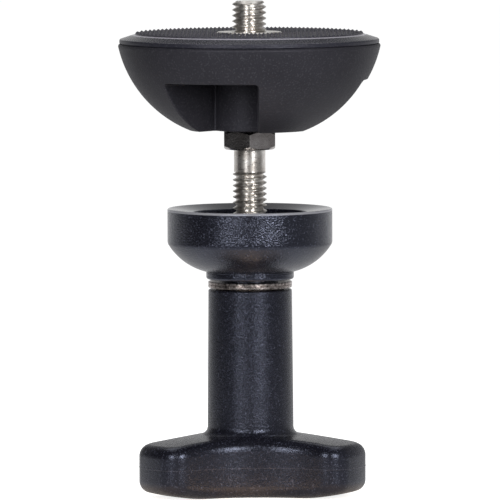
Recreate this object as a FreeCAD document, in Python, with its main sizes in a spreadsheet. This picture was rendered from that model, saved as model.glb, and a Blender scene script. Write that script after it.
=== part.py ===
import FreeCAD, Part
import Sketcher
import math
import os

from FreeCAD import Vector

# Half-ball leveling base: ball head with stud, clamp cup, thrust washers and three-lobed knob.
# Origin on the axis at the knob's base, +Z up, millimetres. The front is -Y.

doc = FreeCAD.newDocument("leveling_base")

# Driving sizes, in millimetres and degrees
size_values = {
    # how far a cutting form runs past what it cuts
    "overrun": 1.0,
    # rod with a 3/8-16 thread at both ends
    "rod_radius": 4.7625,
    "shank_radius": 4.4,
    "rod_chamfer": 0.9,
    "stud_proud": 8.45,
    "shank_length": 6.3,
    "rod_tail": 18.01,
    "thread_clearance": 0.05,
    # thread relief in the mouth of the collar, below the stud
    "relief_radius": 3.8,
    "relief_height": 1.0,
    # jam nut under the ball
    "nut_flats": 14.29,
    "nut_height": 5.35,
    "nut_face_radius": 6.75,
    "nut_face_rise": 1.1,
    # half ball, an arc whose centre stands off the axis
    "ball_height": 24.3,
    "ball_arc_offset": 4.31,
    "ball_arc_radius": 33.2,
    "ball_arc_height": 30.8,
    "ball_wall": 3.0,
    "ball_top_round": 0.7,
    "ball_foot_round": 1.0,
    # hub and the three pockets round it
    "hub_radius": 10.2,
    "sleeve_outer_radius": 7.0,
    "sleeve_wall": 1.8,
    "sleeve_clearance": 0.03,
    "pocket_height": 14.25,
    "pocket_side_offset": 2.5,
    "pocket_slant_offset": 5.4,
    "pocket_splay": 36.8,
    "pocket_round": 1.0,
    "pocket_hub_round": 0.35,
    "pocket_mouth_round": 0.4,
    "pocket_wall": 2.5,
    # cap, its pad and the collar in the middle
    "cap_height": 2.65,
    "cap_radius": 36.35,
    "cap_band": 1.25,
    "cap_edge_round": 0.5,
    "cap_seam": 0.25,
    "spigot_depth": 2.0,
    "spigot_wall": 2.0,
    "spigot_clearance": 0.3,
    "pad_radius": 31.85,
    "pad_thickness": 1.95,
    "pad_proud": 0.75,
    "pad_bevel": 0.4,
    "pad_clearance": 0.1,
    "collar_radius": 9.1,
    "collar_drop": 0.15,
    "collar_sink": 0.8,
    "collar_chamfer": 0.3,
    # cap screws and the inserts they pull on
    "cap_screw_circle": 22.0,
    "cap_screw_angle": 253.0,
    "cap_screw_radius": 1.5,
    "cap_screw_length": 6.9,
    "cap_head_radius": 2.8,
    "cap_head_height": 1.6,
    "cap_head_sink": 1.6,
    "screw_clearance": 0.2,
    "insert_wall": 0.9,
    "cap_insert_length": 6.0,
    "post_wall": 1.5,
    "screw_socket": 1.25,
    "screw_socket_depth": 1.1,
    "screw_head_round": 0.4,
    # clamp cup
    "cup_height": 20.53,
    "cup_radius": 23.1,
    "cup_mouth_radius": 16.0,
    "cup_seat_drop": 1.3,
    "cup_mouth_depth": 8.8,
    "cup_floor_radius": 12.8,
    "cup_floor_height": 6.33,
    "cup_arc_offset": 8.43,
    "cup_arc_height": 19.23,
    "cup_arc_radius": 16.93,
    "cup_shoulder_round": 2.0,
    "cup_rim_round": 0.35,
    "cup_ring_radius": 12.3,
    "cup_ring_height": 2.6,
    "cup_ring_round": 0.8,
    "cup_ring_top_round": 0.3,
    "cup_foot_radius": 8.0,
    "cup_foot_step": 0.6,
    "cup_bore_clearance": 0.34,
    "rest_gap": 21.85,
    # thrust washers
    "washer_radius": 11.75,
    "washer_thickness": 0.83,
    "washer_clearance": 0.1,
    "washer_chamfer": 0.15,
    # threaded insert in the neck
    "insert_spigot_radius": 6.0,
    "insert_spigot_height": 1.4,
    "insert_flange_radius": 9.6,
    "insert_flange_thickness": 1.4,
    "insert_proud": 0.53,
    "insert_body_radius": 7.5,
    "insert_length": 14.3,
    "insert_clearance": 0.03,
    # neck
    "knob_height": 57.48,
    "neck_top_radius": 11.7,
    "neck_foot_radius": 12.05,
    "neck_foot_rise": 2.5,
    "neck_wall": 3.4,
    "neck_top_round": 0.5,
    "neck_foot_round": 2.3,
    # three-lobed handle, domed above and below
    "handle_height": 17.15,
    "handle_radius": 33.6,
    "lobe_corner": 6.34,
    "lobe_angle": 92.8,
    "waist_radius": 16.33,
    "scallop_radius": 30.3,
    "crown_radius": 217.0,
    "base_flat_radius": 19.5,
    "base_crown_radius": 46.0,
    "handle_edge_round": 3.4,
    "handle_wall": 3.0,
    "parting_height": 8.57,
    "lip_height": 1.6,
    "lip_wall": 1.2,
    "lip_clearance": 0.1,
    # cover screws
    "cover_screw_circle": 23.5,
    "cover_screw_radius": 1.5,
    "cover_screw_length": 9.0,
    "cover_head_radius": 2.8,
    "cover_head_height": 2.0,
    "cover_head_sink": 1.6,
    "screw_tip_gap": 0.5,
    "pillar_wall": 1.6,
}

# Heights of the stack, each worked out from the sizes
level_formulas = {
    "thrust_seat": "sizes.knob_height + sizes.insert_proud",
    "cup_foot": "thrust_seat + 2 * sizes.washer_thickness",
    "cup_rim": "cup_foot + sizes.cup_height",
    "ball_bottom": "cup_rim + sizes.rest_gap",
    "nut_bottom": "ball_bottom - sizes.nut_height",
    "shank_bottom": "nut_bottom - sizes.shank_length",
    "rod_bottom": "thrust_seat - sizes.rod_tail",
    "pocket_ceiling": "ball_bottom + sizes.pocket_height",
    "ceiling_top": "pocket_ceiling + sizes.ball_wall",
    "cap_head_seat": "pocket_ceiling + sizes.cap_head_sink",
    "ball_top": "ball_bottom + sizes.ball_height",
    "hub_top": "ball_top - sizes.collar_sink",
    "cap_top": "ball_top + sizes.cap_height",
    "pad_top": "cap_top + sizes.pad_proud",
    "pad_bottom": "pad_top - sizes.pad_thickness",
    "collar_top": "pad_top - sizes.collar_drop",
    "stud_tip": "pad_top + sizes.stud_proud",
    "insert_bottom": "thrust_seat - sizes.insert_length",
    "flange_bottom": "thrust_seat - sizes.insert_flange_thickness",
    "handle_ceiling": "sizes.handle_height - sizes.handle_wall",
    "neck_foot": "sizes.handle_height + sizes.neck_foot_rise",
    "cover_head_seat": "sizes.cover_head_sink + sizes.cover_head_height",
}

copies = 3
turn_step = 360 / copies
# two places closer than this are the same
near = 0.01


def fill_sheet(name, cells, formula):
    sheet = doc.addObject("Spreadsheet::Sheet", name)
    for row, alias in enumerate(cells, start=1):
        sheet.set("A%d" % row, alias)
        sheet.set("B%d" % row, ("=%s" if formula else "%s") % cells[alias])
        sheet.setAlias("B%d" % row, alias)
    return sheet


sizes = fill_sheet("sizes", size_values, formula=False)
doc.recompute()
levels = fill_sheet("levels", level_formulas, formula=True)
doc.recompute()
# one cell works out where a sketch's points start, before its constraints take over
working = doc.addObject("Spreadsheet::Sheet", "working")
working_cell = "A1"


def number(expression):
    working.set(working_cell, "=" + expression)
    working.recompute()
    return float(working.get(working_cell))


def origin_plane(body, role):
    for feature in body.Origin.OriginFeatures:
        if feature.Role == role:
            return feature


def new_body(name):
    return doc.addObject("PartDesign::Body", name)


def new_sketch(body, name, role):
    sketch = body.newObject("Sketcher::SketchObject", name)
    sketch.AttachmentSupport = [(origin_plane(body, role), "")]
    sketch.MapMode = "FlatFace"
    return sketch


def pin_value(sketch, kind, target, expression):
    # one named constraint bound to the sheet
    index = sketch.addConstraint(target)
    sketch.renameConstraint(index, "%s%d" % (kind, index))
    sketch.setExpression("Constraints.%s%d" % (kind, index), expression)


def draw_outline(sketch, points):
    # a closed outline: points are (x, y), with None where an arc sets that coordinate,
    # and an arc between two points is (centre x, centre y, radius, "above" or "below" its centre)
    corners = []
    arcs = {}
    for item in points:
        if len(item) == 2:
            corners.append(item)
        else:
            arcs[len(corners) - 1] = item
    starts = []
    for place, (across, up) in enumerate(corners):
        if across is None:
            arc = arcs.get(place) or arcs[place - 1]
            rise = number(up) - number(arc[1])
            reach = math.sqrt(number(arc[2]) ** 2 - rise ** 2)
            starts.append(Vector(number(arc[0]) + reach, number(up), 0))
        elif up is None:
            arc = arcs.get(place) or arcs[place - 1]
            run = number(across) - number(arc[0])
            drop = math.sqrt(number(arc[2]) ** 2 - run ** 2)
            side = -1 if arc[3] == "below" else 1
            starts.append(Vector(number(across), number(arc[1]) + side * drop, 0))
        else:
            starts.append(Vector(number(across), number(up), 0))
    count = len(corners)
    ends = {}
    for place in range(count):
        begin = starts[place]
        finish = starts[(place + 1) % count]
        if place in arcs:
            centre = Vector(number(arcs[place][0]), number(arcs[place][1]), 0)
            circle = Part.Circle(centre, Vector(0, 0, 1), number(arcs[place][2]))
            first = math.atan2(begin.y - centre.y, begin.x - centre.x)
            second = math.atan2(finish.y - centre.y, finish.x - centre.x)
            sweep = (second - first) % (2 * math.pi)
            if sweep <= math.pi:
                shape = Part.ArcOfCircle(circle, first, first + sweep)
                ends[place] = (1, 2)
            else:
                shape = Part.ArcOfCircle(circle, second, second + 2 * math.pi - sweep)
                ends[place] = (2, 1)
            sketch.addGeometry(shape, False)
            pin_value(sketch, "centreX", Sketcher.Constraint("DistanceX", place, 3, centre.x), arcs[place][0])
            pin_value(sketch, "centreY", Sketcher.Constraint("DistanceY", place, 3, centre.y), arcs[place][1])
            pin_value(sketch, "radius", Sketcher.Constraint("Radius", place, circle.Radius), arcs[place][2])
        else:
            sketch.addGeometry(Part.LineSegment(begin, finish), False)
            ends[place] = (1, 2)
    for place in range(count):
        follow = (place + 1) % count
        sketch.addConstraint(Sketcher.Constraint("Coincident", place, ends[place][1], follow, ends[follow][0]))
    for place, (across, up) in enumerate(corners):
        if across is not None:
            rule = Sketcher.Constraint("DistanceX", place, ends[place][0], starts[place].x)
            pin_value(sketch, "x", rule, across)
        if up is not None:
            rule = Sketcher.Constraint("DistanceY", place, ends[place][0], starts[place].y)
            pin_value(sketch, "y", rule, up)


def turned_body(name, points):
    # a body of revolution about Z from a half section in the XZ plane
    body = new_body(name)
    sketch = new_sketch(body, name + "_section", "XZ_Plane")
    draw_outline(sketch, points)
    turn = body.newObject("PartDesign::Revolution", name + "_turn")
    turn.Profile = sketch
    turn.ReferenceAxis = (sketch, ["V_Axis"])
    turn.Angle = 360
    body.Tip = turn
    sketch.Visibility = False
    doc.recompute()
    return body


def round_circles(body, name, circles, radius):
    # rounds the circular edges that lie at the stated (radius, height) pairs
    base = body.Tip
    names = []
    for place, edge in enumerate(base.Shape.Edges, start=1):
        if not isinstance(edge.Curve, Part.Circle):
            continue
        for ring, height in circles:
            on_ring = abs(edge.Curve.Radius - number(ring)) < near
            if on_ring and abs(edge.Curve.Center.z - number(height)) < near:
                names.append("Edge%d" % place)
    fillet = body.newObject("PartDesign::Fillet", name)
    fillet.Base = (base, names)
    fillet.setExpression("Radius", radius)
    body.Tip = fillet
    doc.recompute()
    return body


def cylinder(name, radius, height, bottom, across=None, angle=None):
    item = doc.addObject("Part::Cylinder", name)
    item.setExpression("Radius", radius)
    item.setExpression("Height", height)
    item.setExpression("Placement.Base.z", bottom)
    if across is not None:
        item.setExpression("Placement.Base.x", "(%s) * cos(%s)" % (across, angle))
        item.setExpression("Placement.Base.y", "(%s) * sin(%s)" % (across, angle))
    return item


def cut(name, base, tool):
    item = doc.addObject("Part::Cut", name)
    item.Base = base
    item.Tool = tool
    doc.recompute()
    return item


def common(name, base, tool):
    item = doc.addObject("Part::Common", name)
    item.Base = base
    item.Tool = tool
    doc.recompute()
    return item


def fuse(name, items):
    item = doc.addObject("Part::MultiFuse", name)
    item.Shapes = items
    item.Refine = True
    doc.recompute()
    return item


def round_edges(name, base, radius, wanted, upright_radius=None):
    # rounds each edge of a plain feature that passes the test, upright ones by their own radius if given
    item = doc.addObject("Part::Fillet", name)
    item.Base = base
    picked = []
    for place, edge in enumerate(base.Shape.Edges, start=1):
        if wanted(edge):
            used = upright_radius if upright_radius and is_upright(edge) else radius
            picked.append((place, used, used))
    item.Edges = picked
    doc.recompute()
    return item


def middle(edge):
    return edge.valueAt((edge.FirstParameter + edge.LastParameter) / 2)


def is_upright(edge):
    if len(edge.Vertexes) < 2:
        return False
    run = edge.Vertexes[1].Point - edge.Vertexes[0].Point
    return abs(run.z) > 0.5 and math.hypot(run.x, run.y) < 1e-4


def copy_angle(start, index):
    return "%s + %g" % (start, index * turn_step)


# Rod: one piece, threaded at both ends, the blank's own diameter between
rod_edge = "sizes.rod_radius - sizes.rod_chamfer"
shank_top = "levels.nut_bottom + sizes.rod_chamfer"
main_stud = turned_body("main_stud", [
    ("0", "levels.rod_bottom"),
    (rod_edge, "levels.rod_bottom"),
    ("sizes.rod_radius", "levels.rod_bottom + sizes.rod_chamfer"),
    ("sizes.rod_radius", "levels.shank_bottom"),
    ("sizes.shank_radius", "levels.shank_bottom"),
    ("sizes.shank_radius", shank_top),
    ("sizes.rod_radius", shank_top),
    ("sizes.rod_radius", "levels.collar_top - sizes.relief_height"),
    ("sizes.relief_radius", "levels.collar_top - sizes.relief_height"),
    ("sizes.relief_radius", "levels.collar_top"),
    ("sizes.rod_radius", "levels.collar_top"),
    ("sizes.rod_radius", "levels.stud_tip - sizes.rod_chamfer"),
    (rod_edge, "levels.stud_tip"),
    ("0", "levels.stud_tip"),
])

# Jam nut: a hexagon with one corner to the front, both faces turned down
thread_bore = "sizes.rod_radius + sizes.thread_clearance"
nut_corner = "sizes.nut_flats / 2 / cos(30)"
nut_blank = doc.addObject("Part::Prism", "nut_blank")
nut_blank.Polygon = 6
nut_blank.setExpression("Circumradius", nut_corner)
nut_blank.setExpression("Height", "sizes.nut_height")
nut_blank.Placement.Rotation = FreeCAD.Rotation(Vector(0, 0, 1), 30)
nut_blank.setExpression("Placement.Base.z", "levels.nut_bottom")
nut_turning = turned_body("nut_turning", [
    (thread_bore, "levels.nut_bottom"),
    ("sizes.nut_face_radius", "levels.nut_bottom"),
    (nut_corner, "levels.nut_bottom + sizes.nut_face_rise"),
    (nut_corner, "levels.ball_bottom - sizes.nut_face_rise"),
    ("sizes.nut_face_radius", "levels.ball_bottom"),
    (thread_bore, "levels.ball_bottom"),
])
jam_nut = common("jam_nut", nut_blank, nut_turning)

# Half ball: outer form, one big hollow from the top, then three pockets from below
arc_centre = "levels.ball_bottom + sizes.ball_arc_height"
ball_form = turned_body("ball_form", [
    ("0", "levels.ball_bottom"),
    (None, "levels.ball_bottom"),
    ("sizes.ball_arc_offset", arc_centre, "sizes.ball_arc_radius", "above"),
    (None, "levels.ball_top"),
    ("0", "levels.ball_top"),
])


def arc_reach(radius, drop):
    # how far the ball's arc stands off the axis at a drop below its centre
    return "sizes.ball_arc_offset + sqrt((%s) ^ 2 - (%s) ^ 2)" % (radius, drop)


top_drop = "sizes.ball_arc_height - sizes.ball_height"
foot_ring = arc_reach("sizes.ball_arc_radius", "sizes.ball_arc_height")
top_ring = arc_reach("sizes.ball_arc_radius", top_drop)
round_circles(ball_form, "ball_foot_edge", [(foot_ring, "levels.ball_bottom")], "sizes.ball_foot_round")
round_circles(ball_form, "ball_top_edge", [(top_ring, "levels.ball_top")], "sizes.ball_top_round")

inner_radius = "sizes.ball_arc_radius - sizes.ball_wall"
ball_floor = "levels.ball_bottom + sizes.ball_wall"
ball_hollow = turned_body("ball_hollow", [
    ("sizes.hub_radius", ball_floor),
    (None, ball_floor),
    ("sizes.ball_arc_offset", arc_centre, inner_radius, "above"),
    (None, "levels.ball_top + sizes.overrun"),
    ("0", "levels.ball_top + sizes.overrun"),
    ("0", "levels.hub_top"),
    ("sizes.hub_radius", "levels.hub_top"),
])


pocket_reach = "2 * (sizes.ball_arc_offset + sizes.ball_arc_radius)"


def pocket_star(name, spread, height):
    # three arms in plan, each between a straight side and a slanted side, both spread outwards
    body = new_body(name)
    sketch = new_sketch(body, name + "_plan", "XY_Plane")
    side = "sizes.pocket_side_offset + %s" % spread
    slant = "(sizes.pocket_slant_offset + %s)" % spread
    near_x = "-%s * cos(sizes.pocket_splay)" % slant
    near_y = "%s * sin(sizes.pocket_splay)" % slant
    draw_outline(sketch, [
        (side, "0"),
        (near_x, near_y),
        ("%s - %s * sin(sizes.pocket_splay)" % (near_x, pocket_reach),
         "%s - %s * cos(sizes.pocket_splay)" % (near_y, pocket_reach)),
        (side, "-" + pocket_reach),
    ])
    pad = body.newObject("PartDesign::Pad", name + "_pad")
    pad.Profile = sketch
    pad.setExpression("Length", height)
    body.Tip = pad
    doc.recompute()
    pattern = body.newObject("PartDesign::PolarPattern", name + "_pattern")
    pattern.Originals = [pad]
    pattern.Axis = (sketch, ["N_Axis"])
    pattern.Angle = 360
    pattern.Occurrences = copies
    body.Tip = pattern
    sketch.Visibility = False
    doc.recompute()
    return body


pocket_form = pocket_star("pocket_form", "0", "levels.pocket_ceiling")
pocket_block = pocket_star("pocket_block", "sizes.pocket_wall", "levels.ceiling_top")
ceiling_level = number("levels.pocket_ceiling")
arm_reach = number(pocket_reach)


def is_inner_edge(edge):
    # round the ceiling and up the hub, not at the arms' ends, which lie outside the ball
    point = middle(edge)
    if math.hypot(point.x, point.y) > 0.75 * arm_reach:
        return False
    return is_upright(edge) or abs(point.z - ceiling_level) < near


hub_core = cylinder("hub_core", "sizes.hub_radius", "levels.ball_top", "0")
pocket_arms = cut("pocket_arms", pocket_form, hub_core)
pockets = round_edges(
    "pockets", pocket_arms, number("sizes.pocket_round"), is_inner_edge, number("sizes.pocket_hub_round"))
ball_with_pockets = cut("ball_with_pockets", ball_form, pockets)
arc_radius = number("sizes.ball_arc_radius")
arc_offset = number("sizes.ball_arc_offset")
arc_level = number(arc_centre)
foot_level = number("levels.ball_bottom")


def is_mouth_edge(edge):
    # where the pockets' sides and ceilings run out through the ball's outer face
    point = middle(edge)
    from_arc = math.hypot(math.hypot(point.x, point.y) - arc_offset, point.z - arc_level)
    on_ball = abs(from_arc - arc_radius) < 2 * near
    return on_ball and foot_level + near < point.z < ceiling_level + near


ball_mouthed = round_edges("ball_mouthed", ball_with_pockets, number("sizes.pocket_mouth_round"), is_mouth_edge)
hollow_between = cut("hollow_between", ball_hollow, pocket_block)

hub_bore = cylinder("hub_bore", "sizes.sleeve_outer_radius + sizes.sleeve_clearance", "levels.ball_top", "0")
screw_holes = []
for index in range(copies):
    screw_holes.append(cylinder(
        "ceiling_hole_%d" % (index + 1),
        "sizes.cap_screw_radius + sizes.screw_clearance",
        "sizes.ball_wall + 2 * sizes.overrun",
        "levels.pocket_ceiling - sizes.overrun",
        "sizes.cap_screw_circle",
        copy_angle("sizes.cap_screw_angle", index),
    ))
    screw_holes.append(cylinder(
        "ceiling_counterbore_%d" % (index + 1),
        "sizes.cap_head_radius + sizes.screw_clearance",
        "sizes.cap_head_sink + sizes.overrun",
        "levels.pocket_ceiling - sizes.overrun",
        "sizes.cap_screw_circle",
        copy_angle("sizes.cap_screw_angle", index),
    ))
ball_cuts = fuse("ball_cuts", [hollow_between, hub_bore] + screw_holes)
half_ball_shell = cut("half_ball_shell", ball_mouthed, ball_cuts)

# Spacer tube in the hub, from the nut's face to the collar
spacer_sleeve = turned_body("spacer_sleeve", [
    ("sizes.sleeve_outer_radius - sizes.sleeve_wall", "levels.ball_bottom"),
    ("sizes.sleeve_outer_radius", "levels.ball_bottom"),
    ("sizes.sleeve_outer_radius", "levels.hub_top"),
    ("sizes.sleeve_outer_radius - sizes.sleeve_wall", "levels.hub_top"),
])

# Collar on the stud, its top just below the tips of the pad's teeth
stud_collar = turned_body("stud_collar", [
    (thread_bore, "levels.hub_top"),
    ("sizes.collar_radius", "levels.hub_top"),
    ("sizes.collar_radius", "levels.collar_top - sizes.collar_chamfer"),
    ("sizes.collar_radius - sizes.collar_chamfer", "levels.collar_top"),
    (thread_bore, "levels.collar_top"),
])

# Cap: recess for the pad above, spigot ring and three posts below
collar_hole = "sizes.collar_radius + sizes.pad_clearance"
recess_radius = "sizes.pad_radius + sizes.pad_clearance"
spigot_drop = "sizes.ball_arc_height - sizes.ball_height + sizes.spigot_depth"
spigot_radius = arc_reach(inner_radius, spigot_drop) + " - sizes.spigot_clearance"
spigot_bottom = "levels.ball_top - sizes.spigot_depth"
cap_plate = turned_body("cap_plate", [
    (collar_hole, "levels.ball_top"),
    (spigot_radius + " - sizes.spigot_wall", "levels.ball_top"),
    (spigot_radius + " - sizes.spigot_wall", spigot_bottom),
    (spigot_radius, spigot_bottom),
    (spigot_radius, "levels.ball_top"),
    ("sizes.cap_radius - sizes.cap_seam", "levels.ball_top"),
    ("sizes.cap_radius", "levels.ball_top + sizes.cap_seam"),
    ("sizes.cap_radius", "levels.ball_top + sizes.cap_band"),
    (recess_radius, "levels.cap_top"),
    (recess_radius, "levels.pad_bottom"),
    (collar_hole, "levels.pad_bottom"),
])
band_edge = ("sizes.cap_radius", "levels.ball_top + sizes.cap_band")
round_circles(cap_plate, "cap_shoulder", [band_edge], "sizes.cap_edge_round")

insert_radius = "sizes.cap_screw_radius + sizes.insert_wall"
posts = []
post_holes = []
for index in range(copies):
    angle = copy_angle("sizes.cap_screw_angle", index)
    posts.append(cylinder(
        "cap_post_%d" % (index + 1), insert_radius + " + sizes.post_wall",
        "(levels.ball_top + levels.pad_bottom) / 2 - levels.ceiling_top", "levels.ceiling_top",
        "sizes.cap_screw_circle", angle,
    ))
    post_holes.append(cylinder(
        "post_hole_%d" % (index + 1), insert_radius + " + sizes.insert_clearance",
        "sizes.cap_insert_length", "levels.ceiling_top",
        "sizes.cap_screw_circle", angle,
    ))
cap_with_posts = fuse("cap_with_posts", [cap_plate] + posts)
post_bores = doc.addObject("Part::Compound", "post_bores")
post_bores.Links = post_holes
top_cap = cut("top_cap", cap_with_posts, post_bores)

# Friction pad in the cap's recess, its height to the tips of its teeth
friction_pad = turned_body("friction_pad", [
    (collar_hole, "levels.pad_bottom"),
    ("sizes.pad_radius", "levels.pad_bottom"),
    ("sizes.pad_radius", "levels.pad_top - sizes.pad_bevel"),
    ("sizes.pad_radius - sizes.pad_bevel", "levels.pad_top"),
    (collar_hole, "levels.pad_top"),
])


def ring(name, outer, inner, height, bottom, across, angle):
    body = cylinder(name + "_body", outer, height, bottom, across, angle)
    bore = cylinder(name + "_bore", inner, height, bottom, across, angle)
    return cut(name, body, bore)


def socket_screw(name, kind, length, seat, across, angle):
    # a screw that points up, its head under the seat, with a hexagon socket
    head_radius = "sizes.%s_head_radius" % kind
    head_height = "sizes.%s_head_height" % kind
    head_bottom = "%s - %s" % (seat, head_height)
    head = cylinder(name + "_head", head_radius, head_height, head_bottom, across, angle)
    doc.recompute()
    low = number(head_bottom)
    rounded = round_edges(
        name + "_head_edge", head, number("sizes.screw_head_round"),
        lambda edge: isinstance(edge.Curve, Part.Circle) and abs(edge.Curve.Center.z - low) < near)
    shank = cylinder(name + "_shank", "sizes.%s_screw_radius" % kind, length, seat, across, angle)
    blank = fuse(name + "_blank", [rounded, shank])
    socket = doc.addObject("Part::Prism", name + "_socket")
    socket.Polygon = 6
    socket.setExpression("Circumradius", "sizes.screw_socket")
    socket.setExpression("Height", "sizes.screw_socket_depth")
    socket.setExpression("Placement.Base.x", "(%s) * cos(%s)" % (across, angle))
    socket.setExpression("Placement.Base.y", "(%s) * sin(%s)" % (across, angle))
    socket.setExpression("Placement.Base.z", head_bottom)
    return cut(name, blank, socket)


cap_screws = []
cap_inserts = []
for index in range(copies):
    angle = copy_angle("sizes.cap_screw_angle", index)
    cap_screws.append(socket_screw(
        "cap_screw_%d" % (index + 1), "cap", "sizes.cap_screw_length",
        "levels.cap_head_seat", "sizes.cap_screw_circle", angle,
    ))
    cap_inserts.append(ring(
        "cap_insert_%d" % (index + 1), insert_radius,
        "sizes.cap_screw_radius + sizes.thread_clearance",
        "sizes.cap_insert_length", "levels.ceiling_top",
        "sizes.cap_screw_circle", angle,
    ))

# Clamp cup: dished seat round its mouth, open bowl, ring at its foot
cup_bore = "sizes.rod_radius + sizes.cup_bore_clearance"
cup_step = "levels.cup_foot + sizes.cup_foot_step"
cup_ring_top = "levels.cup_foot + sizes.cup_ring_height"
cup_seat = "levels.cup_rim - sizes.cup_seat_drop"
cup_floor = "levels.cup_foot + sizes.cup_floor_height"
cup_arc_centre = "levels.cup_foot + sizes.cup_arc_height"
cup_shoulder = (cup_arc_centre + " - sqrt(sizes.cup_arc_radius ^ 2"
                " - (sizes.cup_radius - sizes.cup_arc_offset) ^ 2)")
clamp_cup = turned_body("clamp_cup", [
    (cup_bore, "levels.cup_foot"),
    ("sizes.cup_foot_radius", "levels.cup_foot"),
    ("sizes.cup_foot_radius", cup_step),
    ("sizes.cup_ring_radius", cup_step),
    ("sizes.cup_ring_radius", cup_ring_top),
    (None, cup_ring_top),
    ("sizes.cup_arc_offset", cup_arc_centre, "sizes.cup_arc_radius", "below"),
    ("sizes.cup_radius", None),
    ("sizes.cup_radius", "levels.cup_rim"),
    ("sizes.cup_mouth_radius", cup_seat),
    ("sizes.cup_mouth_radius", "levels.cup_rim - sizes.cup_mouth_depth"),
    ("sizes.cup_floor_radius", cup_floor),
    (cup_bore, cup_floor),
])
round_circles(clamp_cup, "cup_shoulder_edge", [("sizes.cup_radius", cup_shoulder)], "sizes.cup_shoulder_round")
rim_edges = [("sizes.cup_radius", "levels.cup_rim"), ("sizes.cup_mouth_radius", cup_seat)]
round_circles(clamp_cup, "cup_rim_edge", rim_edges, "sizes.cup_rim_round")
round_circles(clamp_cup, "cup_ring_edge", [("sizes.cup_ring_radius", cup_step)], "sizes.cup_ring_round")
ring_top_edge = [("sizes.cup_ring_radius", cup_ring_top)]
round_circles(clamp_cup, "cup_ring_top_edge", ring_top_edge, "sizes.cup_ring_top_round")


# Thrust washers, one turning with the cup and one with the knob
def thrust_washer(name, bottom):
    top = bottom + " + sizes.washer_thickness"
    bore = "sizes.insert_spigot_radius + sizes.washer_clearance"
    rim = "sizes.washer_radius - sizes.washer_chamfer"
    return turned_body(name, [
        (bore, bottom),
        (rim, bottom),
        ("sizes.washer_radius", bottom + " + sizes.washer_chamfer"),
        ("sizes.washer_radius", top + " - sizes.washer_chamfer"),
        (rim, top),
        (bore, top),
    ])


lower_thrust_washer = thrust_washer("lower_thrust_washer", "levels.thrust_seat")
upper_thrust_washer = thrust_washer("upper_thrust_washer", "levels.thrust_seat + sizes.washer_thickness")

# Threaded insert: spigot for the washers, flange on the neck, long body inside it
knob_insert = turned_body("knob_insert", [
    (thread_bore, "levels.insert_bottom"),
    ("sizes.insert_body_radius", "levels.insert_bottom"),
    ("sizes.insert_body_radius", "levels.flange_bottom"),
    ("sizes.insert_flange_radius", "levels.flange_bottom"),
    ("sizes.insert_flange_radius", "levels.thrust_seat"),
    ("sizes.insert_spigot_radius", "levels.thrust_seat"),
    ("sizes.insert_spigot_radius", "levels.thrust_seat + sizes.insert_spigot_height"),
    (thread_bore, "levels.thrust_seat + sizes.insert_spigot_height"),
])


def lobed_blank(name, inset, bottom, height):
    # a disc with three round scallops out of its rim, every side moved in by the inset
    disc = cylinder(name + "_disc", "sizes.handle_radius - %s" % inset, height, bottom)
    scallops = []
    for index in range(copies):
        scallops.append(cylinder(
            "%s_scallop_%d" % (name, index + 1),
            "sizes.scallop_radius + %s" % inset, height, bottom,
            "sizes.waist_radius + sizes.scallop_radius",
            copy_angle("sizes.lobe_angle + 60", index),
        ))
    group = doc.addObject("Part::Compound", name + "_scallops")
    group.Links = scallops
    plan = cut(name + "_plan", disc, group)
    return round_edges(name, plan, number("sizes.lobe_corner - %s" % inset), is_upright)


handle_prism = lobed_blank("handle_prism", "0", "0", "sizes.handle_height + sizes.overrun")
dome_reach = "sizes.handle_radius + 5 * sizes.overrun"


def dome_form(name, inset):
    # flat in the middle below, curving up towards the rim, with a low crown above
    return turned_body(name, [
        ("0", inset),
        ("sizes.base_flat_radius", None),
        ("sizes.base_flat_radius", "sizes.base_crown_radius", "sizes.base_crown_radius - %s" % inset, "below"),
        (dome_reach, None),
        (dome_reach, None),
        ("0", "sizes.handle_height - sizes.crown_radius", "sizes.crown_radius - %s" % inset, "above"),
        ("0", None),
    ])


handle_dome = dome_form("handle_dome", "0")
handle_form = common("handle_form", handle_prism, handle_dome)
parting_level = number("sizes.parting_height")
waist = number("sizes.waist_radius")


def is_rim_edge(edge):
    # the upper and lower outlines of the lobes, not the dome's own seams or its flat's edge
    point = middle(edge)
    across = math.hypot(point.x, point.y)
    if is_upright(edge) or across < waist - near:
        return False
    along = edge.tangentAt((edge.FirstParameter + edge.LastParameter) / 2)
    if abs(along.x * point.x + along.y * point.y) > 0.9 * across:
        return False
    return abs(across - base_flat) > near or point.z > near


base_flat = number("sizes.base_flat_radius")
handle_rounded = round_edges("handle_rounded", handle_form, number("sizes.handle_edge_round"), is_rim_edge)

# The handle's two halves, parted at one level
half_reach = "sizes.handle_radius + sizes.overrun"
above_parting = cylinder("above_parting", half_reach, "sizes.handle_height", "sizes.parting_height")
below_parting = cylinder("below_parting", half_reach, "sizes.parting_height + sizes.overrun", "-sizes.overrun")
upper_half = common("upper_half", handle_rounded, above_parting)
lower_half = common("lower_half", handle_rounded, below_parting)

# Knob body: upper half with the long neck, hollow from below
neck_inner = "sizes.neck_top_radius - sizes.neck_wall"
neck_form = turned_body("neck_form", [
    ("0", "sizes.parting_height + sizes.handle_wall"),
    ("sizes.neck_foot_radius", "sizes.parting_height + sizes.handle_wall"),
    ("sizes.neck_foot_radius", "levels.neck_foot"),
    ("sizes.neck_top_radius", "sizes.knob_height"),
    ("0", "sizes.knob_height"),
])
round_circles(neck_form, "neck_top_edge", [("sizes.neck_top_radius", "sizes.knob_height")], "sizes.neck_top_round")
neck_on_handle = fuse("neck_on_handle", [upper_half, neck_form])
foot_radius = number("sizes.neck_foot_radius")
neck_foot = number("levels.neck_foot")


def is_foot_edge(edge):
    point = middle(edge)
    on_neck = abs(math.hypot(point.x, point.y) - foot_radius) < near
    return on_neck and not is_upright(edge) and parting_level < point.z < neck_foot - near


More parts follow.
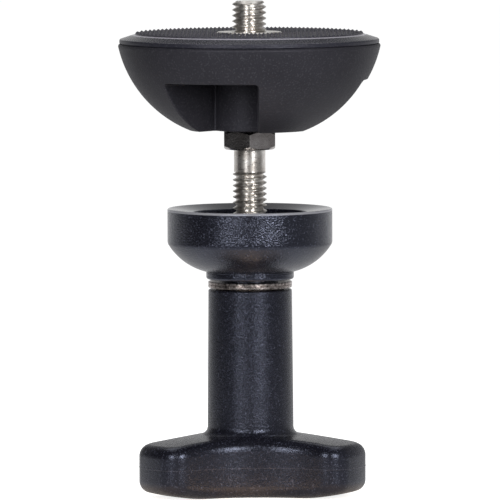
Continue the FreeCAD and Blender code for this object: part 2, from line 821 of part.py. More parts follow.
knob_form = round_edges("knob_form", neck_on_handle, number("sizes.neck_foot_round"), is_foot_edge)
wall_prism = lobed_blank("wall_prism", "sizes.handle_wall", "sizes.parting_height", "sizes.handle_height")
wall_dome = dome_form("wall_dome", "sizes.handle_wall")
upper_hollow = common("upper_hollow", wall_prism, wall_dome)
neck_bores = turned_body("neck_bores", [
    ("0", "sizes.parting_height"),
    (neck_inner, "sizes.parting_height"),
    (neck_inner, "levels.insert_bottom"),
    ("sizes.insert_body_radius + sizes.insert_clearance", "levels.insert_bottom"),
    ("sizes.insert_body_radius + sizes.insert_clearance", "levels.flange_bottom"),
    ("sizes.insert_flange_radius + sizes.insert_clearance", "levels.flange_bottom"),
    ("sizes.insert_flange_radius + sizes.insert_clearance", "sizes.knob_height + sizes.overrun"),
    ("0", "sizes.knob_height + sizes.overrun"),
])
knob_hollowed = cut("knob_hollowed", knob_form, fuse("knob_hollows", [upper_hollow, neck_bores]))

cover_posts = []
post_threads = []
pillars = []
pillar_holes = []
for index in range(copies):
    angle = copy_angle("sizes.lobe_angle", index)
    cover_posts.append(cylinder(
        "cover_post_%d" % (index + 1), "sizes.cover_screw_radius + sizes.pillar_wall",
        "levels.handle_ceiling - sizes.parting_height", "sizes.parting_height",
        "sizes.cover_screw_circle", angle,
    ))
    post_threads.append(cylinder(
        "post_thread_%d" % (index + 1), "sizes.cover_screw_radius + sizes.thread_clearance",
        "levels.cover_head_seat + sizes.cover_screw_length + sizes.screw_tip_gap", "0",
        "sizes.cover_screw_circle", angle,
    ))
    head_space = "sizes.cover_head_radius + sizes.screw_clearance"
    pillars.append(cylinder(
        "pillar_%d" % (index + 1), head_space + " + sizes.pillar_wall",
        "sizes.parting_height - sizes.handle_wall / 2", "sizes.handle_wall / 2",
        "sizes.cover_screw_circle", angle,
    ))
    pillar_holes.append(cylinder(
        "counterbore_%d" % (index + 1), head_space,
        "levels.cover_head_seat + sizes.overrun", "-sizes.overrun",
        "sizes.cover_screw_circle", angle,
    ))
    pillar_holes.append(cylinder(
        "pillar_hole_%d" % (index + 1), "sizes.cover_screw_radius + sizes.screw_clearance",
        "sizes.parting_height + sizes.overrun", "0",
        "sizes.cover_screw_circle", angle,
    ))
knob_with_posts = fuse("knob_with_posts", [knob_hollowed] + cover_posts)
thread_group = doc.addObject("Part::Compound", "thread_group")
thread_group.Links = post_threads
knob_body = cut("knob_body", knob_with_posts, thread_group)

# Knob cover: lower half, its wall rising into the body as a lip
lip_inset = "(sizes.handle_wall + sizes.lip_clearance)"
cover_inset = "(sizes.handle_wall + sizes.lip_clearance + sizes.lip_wall)"
lip_form = lobed_blank("lip_form", lip_inset, "sizes.parting_height - sizes.lip_height", "2 * sizes.lip_height")
cover_prism = lobed_blank("cover_prism", cover_inset, "0", "sizes.handle_height")
cover_hollow = common("cover_hollow", cover_prism, wall_dome)
cover_form = fuse("cover_form", [lower_half, lip_form])
cover_hollowed = cut("cover_hollowed", cover_form, cover_hollow)
cover_with_pillars = fuse("cover_with_pillars", [cover_hollowed] + pillars)
knob_cover = cut("knob_cover", cover_with_pillars, fuse("cover_holes", pillar_holes))

cover_screws = []
for index in range(copies):
    cover_screws.append(socket_screw(
        "cover_screw_%d" % (index + 1), "cover", "sizes.cover_screw_length",
        "levels.cover_head_seat", "sizes.cover_screw_circle", copy_angle("sizes.lobe_angle", index),
    ))

pieces = [
    half_ball_shell, top_cap, friction_pad, stud_collar, main_stud, jam_nut, spacer_sleeve,
    clamp_cup, upper_thrust_washer, lower_thrust_washer,
    knob_body, knob_cover, knob_insert,
] + cap_inserts + cap_screws + cover_screws

doc.recompute()
faults = []
for item in doc.Objects:
    if "Invalid" in item.State or "Error" in item.State:
        faults.append("%s: %s" % (item.Name, item.State))
for item in pieces:
    if item.Shape.isNull() or not item.Shape.isValid() or len(item.Shape.Solids) != 1:
        faults.append("%s: not one valid solid" % item.Label)
if faults:
    raise RuntimeError("; ".join(faults))

os.makedirs("parts", exist_ok=True)
for item in pieces:
    item.Shape.exportStep("parts/%s.step" % item.Label)
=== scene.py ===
import math

import bpy
import numpy as np
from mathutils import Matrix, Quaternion, Vector


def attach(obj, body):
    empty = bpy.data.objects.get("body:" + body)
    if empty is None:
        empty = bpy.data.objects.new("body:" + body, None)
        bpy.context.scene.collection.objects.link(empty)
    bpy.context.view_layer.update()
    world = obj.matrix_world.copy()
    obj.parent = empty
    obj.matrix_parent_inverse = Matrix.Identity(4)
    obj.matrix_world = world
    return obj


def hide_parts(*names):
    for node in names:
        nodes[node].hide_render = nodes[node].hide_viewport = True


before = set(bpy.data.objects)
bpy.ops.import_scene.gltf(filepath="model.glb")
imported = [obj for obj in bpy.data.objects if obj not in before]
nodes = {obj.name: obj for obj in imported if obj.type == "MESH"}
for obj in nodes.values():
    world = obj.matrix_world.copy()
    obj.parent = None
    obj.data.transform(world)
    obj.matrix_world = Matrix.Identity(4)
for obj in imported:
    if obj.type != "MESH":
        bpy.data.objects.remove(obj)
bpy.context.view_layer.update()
scene = bpy.context.scene
scene.view_settings.view_transform = "Standard"
mm = 0.001
fullTurn = 2 * math.pi
print("frame loaded,", len(nodes), "nodes")


# node helpers

mixFactor, mixFirst, mixSecond, mixResult = 0, 6, 7, 2  # a Mix node's sockets for colours


def noise(tree, place, scale, detail, stretch=None):
    # noise on Object coordinates, scale in waves per metre
    if stretch is not None:
        mapping = tree.nodes.new("ShaderNodeMapping")
        mapping.inputs["Scale"].default_value = stretch
        tree.links.new(place, mapping.inputs["Vector"])
        place = mapping.outputs["Vector"]
    node = tree.nodes.new("ShaderNodeTexNoise")
    node.inputs["Scale"].default_value = scale
    node.inputs["Detail"].default_value = detail
    tree.links.new(place, node.inputs["Vector"])
    return node.outputs["Fac"]


def spread(tree, value, low, high, newLow, newHigh):
    # low to high becomes newLow to newHigh, flat beyond either end
    node = tree.nodes.new("ShaderNodeMapRange")
    node.inputs["From Min"].default_value = low
    node.inputs["From Max"].default_value = high
    node.inputs["To Min"].default_value = newLow
    node.inputs["To Max"].default_value = newHigh
    tree.links.new(value, node.inputs["Value"])
    return node.outputs["Result"]


def blendColours(tree, factor, first, second):
    node = tree.nodes.new("ShaderNodeMix")
    node.data_type = "RGBA"
    tree.links.new(factor, node.inputs[mixFactor])
    for index, colour in ((mixFirst, first), (mixSecond, second)):
        if hasattr(colour, "links"):
            tree.links.new(colour, node.inputs[index])
        else:
            node.inputs[index].default_value = (*colour, 1)
    return node.outputs[mixResult]


def combine(tree, operation, first, second):
    node = tree.nodes.new("ShaderNodeMath")
    node.operation = operation
    tree.links.new(first, node.inputs[0])
    tree.links.new(second, node.inputs[1])
    return node.outputs["Value"]


def distanceFrom(tree, place, centre):
    node = tree.nodes.new("ShaderNodeVectorMath")
    node.operation = "DISTANCE"
    node.inputs[1].default_value = centre
    tree.links.new(place, node.inputs[0])
    return node.outputs["Value"]


def heightOverCone(tree, place, slope):
    # height - slope * radius, which is the same all over a cone round the axis
    split = tree.nodes.new("ShaderNodeSeparateXYZ")
    tree.links.new(place, split.inputs["Vector"])
    flat = tree.nodes.new("ShaderNodeVectorMath")
    flat.operation = "MULTIPLY"
    flat.inputs[1].default_value = (1, 1, 0)
    tree.links.new(place, flat.inputs[0])
    lift = tree.nodes.new("ShaderNodeMath")
    lift.operation = "MULTIPLY_ADD"
    lift.inputs[1].default_value = -slope
    tree.links.new(distanceFrom(tree, flat.outputs["Vector"], (0, 0, 0)), lift.inputs[0])
    tree.links.new(split.outputs["Z"], lift.inputs[2])
    return lift.outputs["Value"]


def bump(tree, surface, height, strength, distance):
    node = tree.nodes.new("ShaderNodeBump")
    if hasattr(strength, "links"):
        tree.links.new(strength, node.inputs["Strength"])
    else:
        node.inputs["Strength"].default_value = strength
    node.inputs["Distance"].default_value = distance
    tree.links.new(height, node.inputs["Height"])
    tree.links.new(node.outputs["Normal"], surface.inputs["Normal"])


# finishes

mottleDetail, speckDetail, grainDetail = 3, 1, 2
noiseBand = (0.3, 0.7)  # where nearly all of a noise lies
patchBand = (0.35, 0.65)  # narrower, for patches with firmer borders
speckSoftness = 0.14
highlightSoftness = 0.12 * mm
zoneSoftness = 0.1 * mm


def startFinish(name, metallic):
    material = bpy.data.materials.new(name)
    material.use_nodes = True
    tree = material.node_tree
    tree.nodes.clear()
    output = tree.nodes.new("ShaderNodeOutputMaterial")
    surface = tree.nodes.new("ShaderNodeBsdfPrincipled")
    surface.inputs["Metallic"].default_value = metallic
    tree.links.new(surface.outputs["BSDF"], output.inputs["Surface"])
    place = tree.nodes.new("ShaderNodeTexCoord")
    return material, tree, surface, place.outputs["Object"]


def grainFinish(name, look):
    # dark coat: mottled colour, fine pebble grain and a few brighter specks; a painted highlight,
    # a lighter colour where height - slope * radius passes a limit in mm, and another grain where
    # it passes that of a zone, which is (limit, slope, share of the bump, share of the roughness)
    material, tree, surface, place = startFinish(name, 0)
    mottle = noise(tree, place, look["mottleScale"], mottleDetail)
    mottle = spread(tree, mottle, *noiseBand, 0, 1)
    body = blendColours(tree, mottle, look["dark"], look["light"])
    specks = noise(tree, place, look["speckScale"], speckDetail)
    lit = spread(tree, specks, look["speckFrom"], look["speckFrom"] + speckSoftness, 0, 1)
    colour = blendColours(tree, lit, body, look["speck"])
    # painted highlight: a band of lighter colour on an edge stands in for light caught on its
    # rounding
    if "edge" in look:
        lift = heightOverCone(tree, place, look["edgeSlope"])
        limit = look["edgeAbove"] * mm
        paintedHighlight = spread(tree, lift, limit, limit + highlightSoftness, 0, 1)
        colour = blendColours(tree, paintedHighlight, colour, look["edge"])
    tree.links.new(colour, surface.inputs["Base Color"])
    grain = noise(tree, place, look["grainScale"], grainDetail)
    rough = spread(tree, grain, *noiseBand, look["roughLow"], look["roughHigh"])
    depth = tree.nodes.new("ShaderNodeValue").outputs["Value"]
    depth.default_value = look["bump"]
    for above, slope, bumpShare, roughShare in look.get("zones", ()):
        lift = heightOverCone(tree, place, slope)
        band = (above * mm, above * mm + zoneSoftness)
        depth = combine(tree, "MULTIPLY", depth, spread(tree, lift, *band, 1, bumpShare))
        rough = combine(tree, "MULTIPLY", rough, spread(tree, lift, *band, 1, roughShare))
    tree.links.new(rough, surface.inputs["Roughness"])
    surface.inputs["Specular IOR Level"].default_value = look["gloss"]
    surface.inputs["Specular Tint"].default_value = (*look["glossTint"], 1)
    bump(tree, surface, grain, depth, look["bumpDepth"] * mm)
    return material


def steelFinish(name, look):
    # turned or blasted steel: streaks round the axis, warm and cool patches
    material, tree, surface, place = startFinish(name, 1)
    patches = noise(tree, place, look["patchScale"], mottleDetail)
    patches = spread(tree, patches, *patchBand, 0, 1)
    colour = blendColours(tree, patches, look["dark"], look["light"])
    tree.links.new(colour, surface.inputs["Base Color"])
    grain = noise(tree, place, look["grainScale"], grainDetail, look["stretch"])
    rough = spread(tree, grain, *noiseBand, look["roughLow"], look["roughHigh"])
    tree.links.new(rough, surface.inputs["Roughness"])
    bump(tree, surface, grain, look["bump"], look["bumpDepth"] * mm)
    return material


ballLook = {
    "dark": (0.0178, 0.0172, 0.0216), "light": (0.0232, 0.0224, 0.028), "mottleScale": 90,
    "speck": (0.041, 0.04, 0.047), "speckScale": 2000, "speckFrom": 0.56,
    "grainScale": 2000, "roughLow": 0.46, "roughHigh": 0.6, "bump": 0.8, "bumpDepth": 0.12,
    "gloss": 0.32, "glossTint": (0.86, 0.86, 1),
}
capLook = dict(
    ballLook, dark=(0.0145, 0.0146, 0.0222), light=(0.0195, 0.0196, 0.028),
    roughLow=0.38, roughHigh=0.5, gloss=0.46,
    zones=((127.5, 0, 0.05, 0.6),),  # the smooth lip round the pad
    # painted highlight along the lip's top edge round the pad
    edge=(0.32, 0.31, 0.35), edgeAbove=128.68, edgeSlope=0,
)
padLook = dict(
    ballLook, dark=(0.02, 0.0185, 0.026), light=(0.036, 0.034, 0.044),
    roughLow=0.4, roughHigh=0.56, gloss=0.5,
)
knobLook = {
    "dark": (0.0045, 0.0045, 0.0072), "light": (0.0075, 0.0075, 0.0115), "mottleScale": 120,
    "speck": (0.05, 0.053, 0.075), "speckScale": 2000, "speckFrom": 0.6,
    "grainScale": 2600, "roughLow": 0.22, "roughHigh": 0.3, "bump": 0.6, "bumpDepth": 0.12,
    "gloss": 0.55, "glossTint": (0.7, 0.76, 1),
    "zones": ((18.5, 0, 1.67, 1),),  # the neck, coarser than the handle
}
cupLook = dict(
    knobLook, grainScale=2300, roughLow=0.14, roughHigh=0.2, bump=0.8, bumpDepth=0.15,
    gloss=0.82,
    zones=((71, 0, 1.25, 1), (75.62, 0.183, 0.05, 0.8)),  # the wall, then the machined seat
    # painted highlight along the rim's outer top edge, standing in for light caught on its round
    edge=(0.25, 0.25, 0.27), edgeAbove=102.52, edgeSlope=-1,
)
# the parting bead's plastic, lighter than the knob's: a painted highlight along the parting line
beadHighlightLook = dict(knobLook, dark=(0.03, 0.03, 0.04), light=(0.045, 0.045, 0.058), bump=0.1)
screwLook = dict(knobLook, dark=(0.02, 0.02, 0.021), light=(0.03, 0.03, 0.031), bump=0.1)
threadLook = {
    "dark": (0.54, 0.5, 0.46), "light": (0.86, 0.84, 0.81), "patchScale": 260,
    "grainScale": 900, "stretch": (1, 1, 6), "roughLow": 0.24, "roughHigh": 0.4,
    "bump": 0.2, "bumpDepth": 0.05,
}
washerLook = dict(
    threadLook, dark=(0.14, 0.118, 0.11), light=(0.6, 0.54, 0.52), patchScale=1500,
    roughLow=0.22, roughHigh=0.36, stretch=(1, 1, 3), bump=0.4,
)
nutLook = dict(
    threadLook, dark=(0.4, 0.37, 0.36), light=(0.62, 0.59, 0.58), grainScale=1500,
    stretch=(1, 1, 1), roughLow=0.14, roughHigh=0.22, bump=0.5, bumpDepth=0.09,
)
aluLook = dict(threadLook, dark=(0.6, 0.6, 0.61), light=(0.72, 0.72, 0.73))
# nearly black steel for the knob's insert: painted shade in the gap under the washers, where its
# flange shows
insertShadeLook = dict(
    threadLook, dark=(0.03, 0.026, 0.024), light=(0.06, 0.052, 0.048),
    roughLow=0.4, roughHigh=0.5,
)
brassLook = dict(threadLook, dark=(0.55, 0.4, 0.18), light=(0.7, 0.54, 0.28))

ballPlastic = grainFinish("ballPlastic", ballLook)
capPlastic = grainFinish("capPlastic", capLook)
padRubber = grainFinish("padRubber", padLook)
knobPlastic = grainFinish("knobPlastic", knobLook)
cupCoat = grainFinish("cupCoat", cupLook)
beadHighlightPlastic = grainFinish("beadHighlightPlastic", beadHighlightLook)
screwBlack = grainFinish("screwBlack", screwLook)
threadSteel = steelFinish("threadSteel", threadLook)
washerSteel = steelFinish("washerSteel", washerLook)
nutSteel = steelFinish("nutSteel", nutLook)
sleeveAluminium = steelFinish("sleeveAluminium", aluLook)
insertShadeSteel = steelFinish("insertShadeSteel", insertShadeLook)
insertBrass = steelFinish("insertBrass", brassLook)

finishes = {
    "half_ball_shell": ballPlastic,
    "top_cap": capPlastic,
    "friction_pad": padRubber,
    "stud_collar": threadSteel,
    "main_stud": threadSteel,
    "jam_nut": nutSteel,
    "spacer_sleeve": sleeveAluminium,
    "clamp_cup": cupCoat,
    "upper_thrust_washer": washerSteel,
    "lower_thrust_washer": washerSteel,
    "knob_body": knobPlastic,
    "knob_cover": knobPlastic,
    "knob_insert": insertShadeSteel,
}
for count in ("1", "2", "3"):
    finishes["cap_insert_" + count] = insertBrass
    finishes["cap_screw_" + count] = screwBlack
    finishes["cover_screw_" + count] = screwBlack


def dress(nodeName, finish):
    mesh = nodes[nodeName].data
    if not mesh.materials:
        mesh.materials.append(finish)
    for slot in nodes[nodeName].material_slots:
        slot.material = finish


for nodeName, finish in finishes.items():
    dress(nodeName, finish)
print("finishes on")


# meshes from arrays


def addPiece(name, points, faces, finish, body, smooth=True):
    mesh = bpy.data.meshes.new(name)
    mesh.from_pydata(points.tolist(), [], faces)
    mesh.polygons.foreach_set("use_smooth", np.full(len(mesh.polygons), smooth))
    mesh.materials.append(finish)
    mesh.update()
    piece = bpy.data.objects.new(name, mesh)
    scene.collection.objects.link(piece)
    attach(piece, body)
    return piece


def roundGrid(rows, columns):
    # faces of a grid that closes on itself along its columns, rows running outwards or upwards
    row, column = np.meshgrid(np.arange(rows - 1), np.arange(columns), indexing="ij")
    right = (column + 1) % columns
    quads = np.stack([row * columns + column, row * columns + right,
                      (row + 1) * columns + right, (row + 1) * columns + column], axis=-1)
    return quads.reshape(-1, 4)


def onAxis(radius, angle, height):
    # points at a radius and angle round the rod's axis
    return np.stack([radius * np.cos(angle), radius * np.sin(angle), height], axis=-1)


# rod: a right-hand screw, radius = crest - depth * ramp(distance from the nearest crest line),
# with a plain shank above the lower thread
rod = {
    "crest": 4.7625 * mm, "pitch": 1.5875 * mm, "depth": 0.95 * mm,
    "crestFlat": 0.07, "rootFlat": 0.13,  # half widths, as shares of the pitch
    "bottom": 40 * mm, "lead": 0.9 * mm, "tip": 138.2 * mm,
    "shank": 4.4 * mm, "shankBottom": 90.4 * mm, "shankTop": 97.6 * mm, "runOut": 0.5 * mm,
    "upperStart": 125.6 * mm,
    "rowsPerTurn": 16, "columns": 96, "shankRows": 8, "shankGap": 0.1 * mm,
    "stepGap": 0.01 * mm, "startGap": 1 * mm, "sharpAngle": math.radians(38),
}


def screwRadius(angle, height):
    # crests lie where height / pitch - angle / turn is a whole number
    phase = height / rod["pitch"] - angle / fullTurn
    away = np.abs(phase - np.round(phase))
    flank = 0.5 - rod["crestFlat"] - rod["rootFlat"]
    ramp = np.clip((away - rod["crestFlat"]) / flank, 0, 1)
    return rod["crest"] - rod["depth"] * ramp


def makeRod():
    step = rod["pitch"] / rod["rowsPerTurn"]
    heights = np.concatenate([
        np.arange(rod["bottom"], rod["shankBottom"], step),
        [rod["shankBottom"] - rod["stepGap"], rod["shankBottom"]],
        np.linspace(rod["shankBottom"] + rod["shankGap"], rod["shankTop"], rod["shankRows"]),
        [rod["upperStart"] - rod["startGap"]],
        np.arange(rod["upperStart"], rod["tip"], step),
        [rod["tip"]],
    ])
    columns = rod["columns"]
    angles = np.arange(columns) * fullTurn / columns
    height, angle = np.meshgrid(heights, angles, indexing="ij")
    # the leads at both ends and the run-out below the shank cap the radius
    fromEnd = np.minimum(rod["tip"] - height, height - rod["bottom"])
    cap = rod["crest"] - rod["lead"] + fromEnd
    belowShank = rod["shankBottom"] - height
    runOut = rod["shank"] + belowShank * (rod["crest"] - rod["shank"]) / rod["runOut"]
    cap = np.where(belowShank > 0, np.minimum(cap, runOut), cap)
    plain = (height >= rod["shankBottom"]) & (height < rod["upperStart"])
    radius = np.where(plain, rod["shank"], np.minimum(screwRadius(angle, height), cap))
    points = onAxis(radius, angle, height).reshape(-1, 3)
    # a fan from one point on the axis closes either end
    count = len(points)
    points = np.vstack([points, [[0, 0, rod["bottom"]]], [[0, 0, rod["tip"]]]])
    ring = np.arange(columns)
    after = (ring + 1) % columns
    top = count - columns
    bottomFan = np.stack([after, ring, np.full(columns, count)], axis=-1)
    topFan = np.stack([top + ring, top + after, np.full(columns, count + 1)], axis=-1)
    faces = roundGrid(len(heights), columns).tolist() + bottomFan.tolist() + topFan.tolist()
    piece = addPiece("rodThread", points, faces, threadSteel, "ball_head")
    piece.data.set_sharp_from_angle(angle=rod["sharpAngle"])
    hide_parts("main_stud")


makeRod()
print("rod done")


# friction pad: a ring with rows of pyramids, height = tip - toothDepth * greater of two waves,
# one across and one along
pad = {
    "inner": 9.4 * mm, "outer": 31.85 * mm, "floor": 127.8 * mm, "tip": 129.75 * mm,
    "toothPitch": 1.14 * mm, "toothDepth": 0.58 * mm, "bevel": 0.4 * mm,
    "step": 0.22 * mm, "rings": 104,
}


def makePad():
    rings = np.linspace(pad["inner"], pad["outer"], pad["rings"])
    columns = int(fullTurn * pad["outer"] / pad["step"])
    angles = np.arange(columns) * fullTurn / columns
    radius, angle = np.meshgrid(rings, angles, indexing="ij")
    sides = (radius * np.cos(angle), radius * np.sin(angle))
    waves = [np.abs((side / pad["toothPitch"]) % 1 - 0.5) * 2 for side in sides]
    height = pad["tip"] - pad["toothDepth"] * np.maximum(*waves)
    # the bevel at the outer edge caps the teeth
    intoBevel = np.maximum(radius - pad["outer"] + pad["bevel"], 0)
    height = np.minimum(height, pad["tip"] - intoBevel)
    # rows: the inner wall's foot, the toothed top, the outer wall's foot
    top = onAxis(radius, angle, height)
    foot = onAxis(radius[[0, -1]], angle[[0, -1]], np.full((2, columns), pad["floor"]))
    points = np.concatenate([foot[:1], top, foot[1:]], axis=0)
    count = len(points)
    # the underside joins the outer wall's foot to the inner wall's
    column = np.arange(columns)
    after = (column + 1) % columns
    last = (count - 1) * columns
    under = np.stack([last + column, last + after, after, column], axis=-1)
    faces = np.vstack([roundGrid(count, columns), under])[:, ::-1]
    piece = addPiece("toothedPad", points.reshape(-1, 3), faces.tolist(),
                     padRubber, "ball_head", smooth=False)
    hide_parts("friction_pad")


makePad()
print("pad done")


# parting bead: on the handle's outline where its two halves meet, sunk a little past its middle;
# its shape catches real light, and its plastic, lighter than the knob's, paints a highlight on
# top
parting = {
    "height": 8.57 * mm, "section": 0.12 * mm, "sunk": 0.03 * mm, "columns": 1440, "sides": 10,
    "lobe": math.radians(92.8), "rim": 33.6 * mm,
    "scallop": 30.3 * mm, "scallopCentre": 46.63 * mm,
    "corner": 6.34 * mm, "cornerCentre": 27.26 * mm,
    "cornerStart": math.radians(38.77), "cornerAngle": math.radians(51.72),
}
# fillet bead: fills the notch between the cup's ring and its bowl
fillet = {
    "height": 62.34 * mm, "section": 0.26 * mm, "sunk": 0.24 * mm, "columns": 240, "sides": 14,
    "radius": 12.3 * mm,
}


def handleRadius(angle):
    # psi from the nearest scallop's middle: scallop arc, then corner arc, then the rim
    third = fullTurn / 3
    psi = np.abs((angle - parting["lobe"] + third) % third - third / 2)
    across = parting["scallopCentre"]
    scallopHalf = parting["scallop"] ** 2 - (across * np.sin(psi)) ** 2
    inScallop = across * np.cos(psi) - np.sqrt(np.maximum(scallopHalf, 0))
    apart = parting["cornerAngle"] - psi
    out = parting["cornerCentre"]
    cornerHalf = parting["corner"] ** 2 - (out * np.sin(apart)) ** 2
    inCorner = out * np.cos(apart) + np.sqrt(np.maximum(cornerHalf, 0))
    radius = np.where(psi < parting["cornerStart"], inScallop, inCorner)
    return np.where(psi > parting["cornerAngle"], parting["rim"], radius)


def filletRadius(angle):
    # the same all round
    return np.full_like(angle, fillet["radius"])


def makeBead(name, outline, look, finish, body):
    # a round section carried along a closed path: point = path - sunk * outward
    # + section * (outward * cos + up * sin)
    columns = look["columns"]
    sides = look["sides"]
    angles = np.arange(columns) * fullTurn / columns
    path = onAxis(outline(angles), angles, np.full(columns, look["height"]))
    along = np.roll(path, -1, axis=0) - np.roll(path, 1, axis=0)
    outward = np.stack([along[:, 1], -along[:, 0], np.zeros(columns)], axis=-1)
    outward /= np.linalg.norm(outward, axis=1)[:, None]
    middle = path - outward * look["sunk"]
    around = (np.arange(sides) * fullTurn / sides)[:, None, None]
    swing = outward[None] * np.cos(around) + np.array([0, 0, 1]) * np.sin(around)
    points = (middle[None] + look["section"] * swing).reshape(-1, 3)
    side, column = np.meshgrid(np.arange(sides), np.arange(columns), indexing="ij")
    above = (side + 1) % sides
    after = (column + 1) % columns
    quads = np.stack([side * columns + column, side * columns + after,
                      above * columns + after, above * columns + column], axis=-1)
    addPiece(name, points, quads.reshape(-1, 4).tolist(), finish, body)


makeBead("partingBead", handleRadius, parting, beadHighlightPlastic, "knob")
makeBead("ringFillet", filletRadius, fillet, cupCoat, "cup")
print("beads done")


# floor, world, lamps and camera

# warm light on the floor before the handle, whose glow the undersides pick up;
# each spot is x, y and power
warmPool = {
    "from": (0, -0.56, 0.9), "colour": (1, 0.74, 0.44), "angle": math.radians(0.95),
    "blend": 0.6, "lampRadius": 0.005,
    "spots": ((-0.025, -0.032, 20), (0, -0.0265, 110), (0.025, -0.032, 20)),
}
# bands are where a value changes, in metres from the middle or the pool, or along x or y
floorLook = {
    "half": 12.0, "near": (0.8, 0.8, 0.8), "fadeBand": (0.08, 0.4),
    # painted shade: the floor's colour darkens away from the middle, more on the left than on the
    # right
    "paintedShadeLeft": (0.06, 0.06, 0.062), "paintedShadeRight": (0.36, 0.36, 0.37), "rightBand": (0.2, 0.8),
    # painted light: a warm, lighter floor colour round the middle spot, where the warm spots also
    # shine
    "paintedPoolTone": (0.9, 0.74, 0.6), "poolBand": (0.03, 0.05),
    "behindBand": (0.05, 0.5), "behindWhite": 0.75, "closeBand": (0.05, 0.1), "closeWhite": 0.2,
    "eyeBand": (0.06, 0.32), "eyeWhite": 0.86,
}
# bands are parts of a direction's x, y or z
worldLook = {
    "backBand": (0.5, 0.97), "lowBand": (0.13, 0.46), "highShare": 0.17,
    "rightBand": (0.35, 0.85), "leftGlow": 0.012, "rightGlow": 0.32, "soft": 0.4,
}
# azimuth in degrees from the viewer's side, positive to the right; every lamp faces the aim
lampAim = Vector((0, 0, 0.07))
lamps = {
    "frontLeft": {"azimuth": -26, "elevation": 17, "distance": 1.2, "size": (0.17, 0.5),
                  "power": 5.6},
    "frontRight": {"azimuth": 26, "elevation": 17, "distance": 1.2, "size": (0.17, 0.5),
                   "power": 7.6},
    "above": {"azimuth": 180, "elevation": 70, "distance": 1.3, "size": (1.2, 1.2), "power": 6},
}
cameraLook = {
    "distance": 2.2, "eye": 0.2275, "aim": 0.06837, "roll": 0.2, "farthest": 100,
    "focalPixels": 7872, "framePixels": 500, "sensor": 36,
}


def makeFloor():
    # white to the eye, and to mirrors behind the object and close to it; to all else a floor
    # with painted shade, darker away from the middle and most on the left, and a painted warm
    # pool of light in front
    look = floorLook
    material = bpy.data.materials.new("studioFloor")
    material.use_nodes = True
    tree = material.node_tree
    tree.nodes.clear()
    output = tree.nodes.new("ShaderNodeOutputMaterial")
    path = tree.nodes.new("ShaderNodeLightPath")
    place = tree.nodes.new("ShaderNodeTexCoord").outputs["Object"]
    split = tree.nodes.new("ShaderNodeSeparateXYZ")
    tree.links.new(place, split.inputs["Vector"])
    reach = distanceFrom(tree, place, (0, 0, 0))
    poolX, poolY = warmPool["spots"][1][:2]
    fromPool = distanceFrom(tree, place, (poolX, poolY, 0))
    rightness = spread(tree, split.outputs["X"], *look["rightBand"], 0, 1)
    # painted shade on the floor: darker away from the middle, darker on the left than on the
    # right
    paintedSideShade = blendColours(tree, rightness, look["paintedShadeLeft"], look["paintedShadeRight"])
    paintedFalloff = spread(tree, reach, *look["fadeBand"], 0, 1)
    paintedFloorShade = blendColours(tree, paintedFalloff, look["near"], paintedSideShade)
    # painted warm pool of light in the floor's colour, on top of the warm spots' real light
    paintedPoolShare = spread(tree, fromPool, *look["poolBand"], 1, 0)
    cloth = tree.nodes.new("ShaderNodeBsdfDiffuse")
    tree.links.new(blendColours(tree, paintedPoolShare, paintedFloorShade, look["paintedPoolTone"]), cloth.inputs["Color"])
    behind = spread(tree, split.outputs["Y"], *look["behindBand"], 0, look["behindWhite"])
    close = spread(tree, reach, *look["closeBand"], look["closeWhite"], 0)
    mirrored = combine(tree, "MAXIMUM", behind, close)
    toEye = spread(tree, reach, *look["eyeBand"], look["eyeWhite"], 1)
    seen = combine(tree, "MAXIMUM",
                   combine(tree, "MULTIPLY", path.outputs["Is Camera Ray"], toEye),
                   combine(tree, "MULTIPLY", path.outputs["Is Glossy Ray"], mirrored))
    white = tree.nodes.new("ShaderNodeEmission")
    tree.links.new(seen, white.inputs["Strength"])
    both = tree.nodes.new("ShaderNodeAddShader")
    tree.links.new(cloth.outputs["BSDF"], both.inputs[0])
    tree.links.new(white.outputs["Emission"], both.inputs[1])
    tree.links.new(both.outputs["Shader"], output.inputs["Surface"])
    half = look["half"]
    mesh = bpy.data.meshes.new("floor")
    corners = [(-half, -half, 0), (half, -half, 0), (half, half, 0), (-half, half, 0)]
    mesh.from_pydata(corners, [], [(0, 1, 2, 3)])
    mesh.materials.append(material)
    floor = bpy.data.objects.new("floor", mesh)
    scene.collection.objects.link(floor)


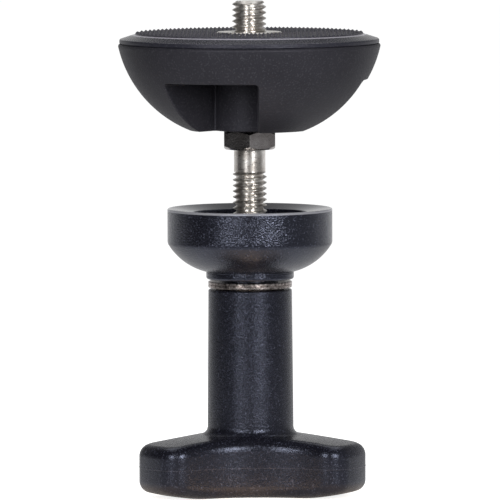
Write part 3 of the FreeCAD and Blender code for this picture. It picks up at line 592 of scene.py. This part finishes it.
def makeWorld():
    # white to the eye; reflections see a bright studio behind the object and a dim one in front
    look = worldLook
    world = bpy.data.worlds.new("studio")
    scene.world = world
    world.use_nodes = True
    tree = world.node_tree
    tree.nodes.clear()
    output = tree.nodes.new("ShaderNodeOutputWorld")
    path = tree.nodes.new("ShaderNodeLightPath")
    place = tree.nodes.new("ShaderNodeTexCoord")
    split = tree.nodes.new("ShaderNodeSeparateXYZ")
    tree.links.new(place.outputs["Generated"], split.inputs["Vector"])
    backness = spread(tree, split.outputs["Y"], *look["backBand"], 0, 1)
    lowness = spread(tree, split.outputs["Z"], *look["lowBand"], 1, look["highShare"])
    rightness = spread(tree, split.outputs["X"], *look["rightBand"],
                       look["leftGlow"], look["rightGlow"])
    around = combine(tree, "ADD", combine(tree, "MULTIPLY", backness, lowness), rightness)
    bright = tree.nodes.new("ShaderNodeBackground")
    tree.links.new(combine(tree, "MAXIMUM", path.outputs["Is Camera Ray"], around),
                   bright.inputs["Strength"])
    soft = tree.nodes.new("ShaderNodeBackground")
    soft.inputs["Color"].default_value = (1, 1, 1, 1)
    soft.inputs["Strength"].default_value = look["soft"]
    sharp = combine(tree, "MAXIMUM", path.outputs["Is Camera Ray"], path.outputs["Is Glossy Ray"])
    choose = tree.nodes.new("ShaderNodeMixShader")
    tree.links.new(sharp, choose.inputs["Fac"])
    tree.links.new(soft.outputs["Background"], choose.inputs[1])
    tree.links.new(bright.outputs["Background"], choose.inputs[2])
    tree.links.new(choose.outputs["Shader"], output.inputs["Surface"])


def addLamp(name, look):
    turn = math.radians(look["azimuth"])
    lift = math.radians(look["elevation"])
    away = Vector((math.sin(turn) * math.cos(lift), -math.cos(turn) * math.cos(lift),
                   math.sin(lift)))
    light = bpy.data.lights.new(name, "AREA")
    light.shape = "RECTANGLE"
    light.size, light.size_y = look["size"]
    light.energy = look["power"]
    lamp = bpy.data.objects.new(name, light)
    lamp.location = lampAim + away * look["distance"]
    lamp.rotation_euler = (-away).to_track_quat("-Z", "Y").to_euler()
    scene.collection.objects.link(lamp)


def addWarmPool():
    for across, along, power in warmPool["spots"]:
        light = bpy.data.lights.new("warmPool", "SPOT")
        light.energy = power
        light.color = warmPool["colour"]
        light.spot_size = warmPool["angle"]
        light.spot_blend = warmPool["blend"]
        light.shadow_soft_size = warmPool["lampRadius"]
        lamp = bpy.data.objects.new("warmPool", light)
        lamp.location = warmPool["from"]
        away = lamp.location - Vector((across, along, 0))
        lamp.rotation_euler = away.to_track_quat("Z", "Y").to_euler()
        scene.collection.objects.link(lamp)


def makeCamera():
    # the lens gives the wanted pixels per radian on a frame of 500 pixels
    look = cameraLook
    data = bpy.data.cameras.new("camera")
    data.sensor_width = look["sensor"]
    data.lens = look["focalPixels"] / look["framePixels"] * look["sensor"]
    data.clip_end = look["farthest"]
    camera = bpy.data.objects.new("camera", data)
    camera.location = (0, -look["distance"], look["eye"])
    facing = (Vector((0, 0, look["aim"])) - camera.location).to_track_quat("-Z", "Y")
    roll = Quaternion((0, 0, 1), math.radians(-look["roll"]))
    camera.rotation_euler = (facing @ roll).to_euler()
    scene.collection.objects.link(camera)
    scene.camera = camera


makeFloor()
makeWorld()
for lampName, lampLook in lamps.items():
    addLamp(lampName, lampLook)
addWarmPool()
makeCamera()
print("stage done")
